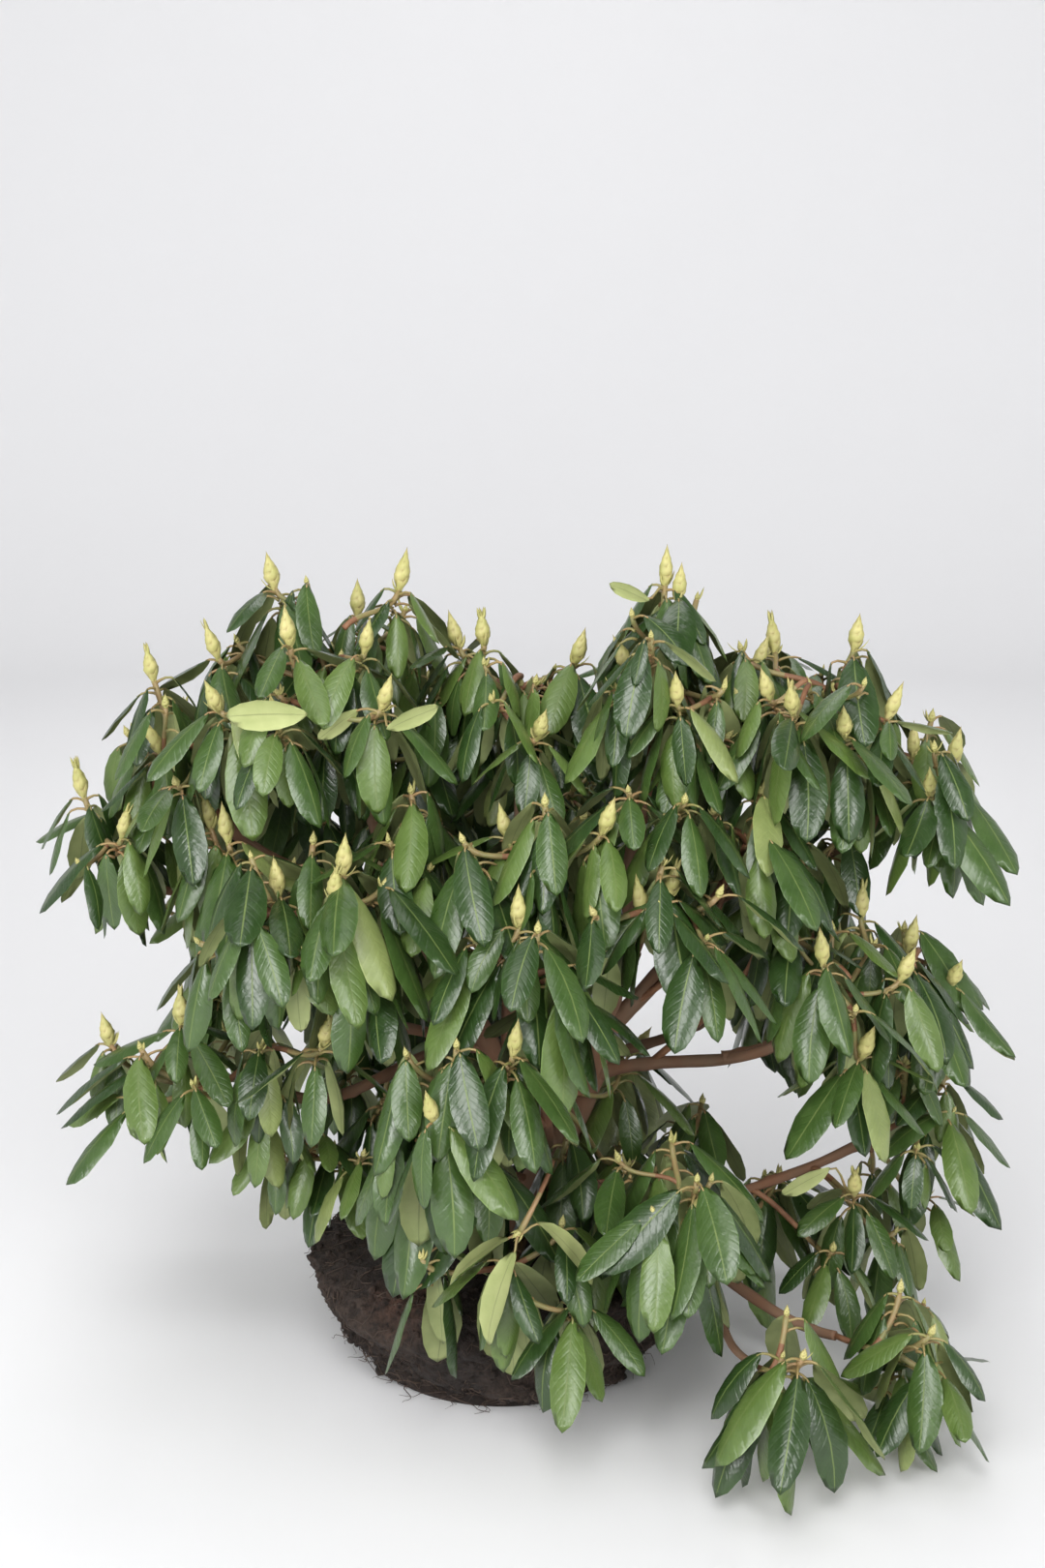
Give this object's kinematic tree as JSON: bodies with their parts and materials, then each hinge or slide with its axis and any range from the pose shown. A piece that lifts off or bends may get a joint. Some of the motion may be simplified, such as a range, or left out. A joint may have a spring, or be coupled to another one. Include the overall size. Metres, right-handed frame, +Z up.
{
  "type": "rhododendron shrub",
  "caption": "Evergreen nursery shrub in bud, spreading and many-branched, standing on its bare root ball.",
  "frame": {"origin": "centre of the root ball's flat underside, which stands on the floor", "axes": "+Z up, +X to the right of the picture along the shrub's widest run, +Y away from the camera"},
  "size_m": [1.0863, 0.8511, 0.9213],
  "materials": {
    "root_ball": "matte",
    "bark": "matte",
    "leaf": "satin"
  },
  "bodies": {
    "root": {"back_centre": "leaf", "back_centre_bough": "bark", "back_left": "leaf", "back_left_bough": "bark", "back_left_top": "leaf", "back_left_top_bough": "bark", "back_low": "leaf", "back_low_bough": "bark", "back_right": "leaf", "back_right_bough": "bark", "back_right_top": "leaf", "back_right_top_bough": "bark", "centre_front": "leaf", "centre_front_bough": "bark", "centre_low": "leaf", "centre_low_bough": "bark", "centre_top": "leaf", "centre_top_bough": "bark", "centre_upper": "leaf", "centre_upper_bough": "bark", "far_left": "leaf", "far_left_bough": "bark", "far_right": "leaf", "far_right_bough": "bark", "front_foot": "leaf", "front_foot_bough": "bark", "front_low": "leaf", "front_low_bough": "bark", "front_right": "leaf", "front_right_bough": "bark", "left_arm": "leaf", "left_arm_bough": "bark", "left_dome": "leaf", "left_dome_bough": "bark", "left_foot": "leaf", "left_foot_bough": "bark", "left_front": "leaf", "left_front_bough": "bark", "left_inner": "leaf", "left_inner_bough": "bark", "left_shoulder": "leaf", "left_shoulder_bough": "bark", "right_arm": "leaf", "right_arm_bough": "bark", "right_arm_tip": "leaf", "right_arm_tip_bough": "bark", "right_centre": "leaf", "right_centre_bough": "bark", "right_dome": "leaf", "right_dome_bough": "bark", "right_foot": "leaf", "right_foot_bough": "bark", "right_inner": "leaf", "right_inner_bough": "bark", "right_low": "leaf", "right_low_bough": "bark", "right_shoulder": "leaf", "right_shoulder_bough": "bark", "root_ball": "root_ball", "trunk": "bark"}
  },
  "joints": []
}
